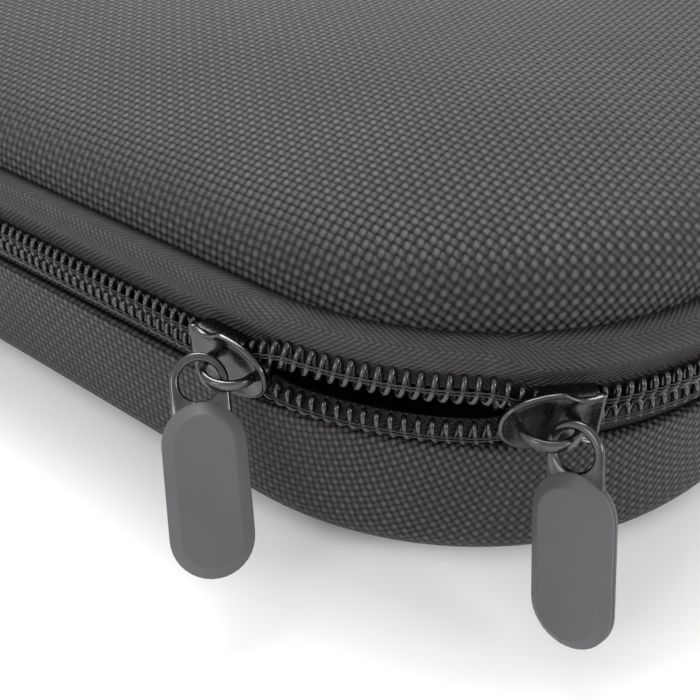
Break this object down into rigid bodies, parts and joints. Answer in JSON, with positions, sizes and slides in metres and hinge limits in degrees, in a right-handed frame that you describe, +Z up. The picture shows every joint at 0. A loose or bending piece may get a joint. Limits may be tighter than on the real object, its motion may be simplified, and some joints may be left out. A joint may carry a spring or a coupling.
{
  "type": "headphone carrying case",
  "caption": "Slim zipped hard case for headphones: ballistic nylon over moulded foam, domed lid on a fabric hinge, coil zip with two sliders and rubber-gripped pulls.",
  "frame": {"origin": "centre of the bottom face, where the case lies on a table", "axes": "+X along the length from the left end to the right, +Y from the front edge to the hinge, +Z up"},
  "size_m": [0.2079, 0.1673, 0.0456],
  "materials": {
    "ballistic_nylon": "woven",
    "eva_foam": "matte",
    "lining_fabric": "brushed",
    "binding_tape": "woven",
    "zip_tape": "woven",
    "coil_nylon": "satin",
    "slider_metal": "gunmetal plate",
    "pull_rubber": "matte",
    "pocket_mesh": "open mesh",
    "elastic": "ribbed"
  },
  "bodies": {
    "base": {"base_cover": "ballistic_nylon", "base_shell": "eva_foam", "base_lining": "lining_fabric", "base_binding": "binding_tape", "lower_zip_tape": "zip_tape", "lower_zip_coil": "coil_nylon", "hinge_gusset": "zip_tape", "hinge_lining": "lining_fabric", "zip_end_left": "binding_tape", "zip_end_right": "binding_tape"},
    "lid": {"lid_cover": "ballistic_nylon", "lid_shell": "eva_foam", "lid_lining": "lining_fabric", "lid_binding": "binding_tape", "upper_zip_tape": "zip_tape", "upper_zip_coil": "coil_nylon", "mesh_pocket": "pocket_mesh", "pocket_hem": "elastic"},
    "slider_left": {"slider_left": "slider_metal"},
    "pull_left": {"pull_tab_left": "slider_metal", "pull_grip_left": "pull_rubber"},
    "slider_right": {"slider_right": "slider_metal"},
    "pull_right": {"pull_tab_right": "slider_metal", "pull_grip_right": "pull_rubber"}
  },
  "joints": [
    {"name": "lid_hinge", "type": "hinge", "parent": "base", "child": "lid", "pos_m": [0, 0.0822, 0.025], "axis": [-1, 0, 0], "range_deg": [0, 120], "deforming": ["lower_zip_tape", "lower_zip_coil", "upper_zip_tape", "upper_zip_coil", "hinge_gusset", "hinge_lining"]},
    {"name": "slider_left_travel", "type": "slide", "parent": "base", "child": "slider_left", "axis": [0, 1, 0], "range_m": [0, 0.064], "deforming": ["lower_zip_tape", "lower_zip_coil", "upper_zip_tape", "upper_zip_coil"]},
    {"name": "slider_right_travel", "type": "hinge", "parent": "base", "child": "slider_right", "pos_m": [-0.048, -0.0355, 0.025], "axis": [0, 0, 1], "range_deg": [-16, 38], "deforming": ["lower_zip_tape", "lower_zip_coil", "upper_zip_tape", "upper_zip_coil"]},
    {"name": "pull_left_swing", "type": "hinge", "parent": "slider_left", "child": "pull_left", "pos_m": [-0.09999, -0.03397, 0.02404], "axis": [0.5417, 0.5417, -0.6428], "range_deg": [-8, 80]},
    {"name": "pull_right_swing", "type": "hinge", "parent": "slider_right", "child": "pull_right", "pos_m": [-0.08469, -0.0723, 0.02396], "axis": [-0.9393, 0.1488, 0.309], "range_deg": [-8, 80]}
  ]
}
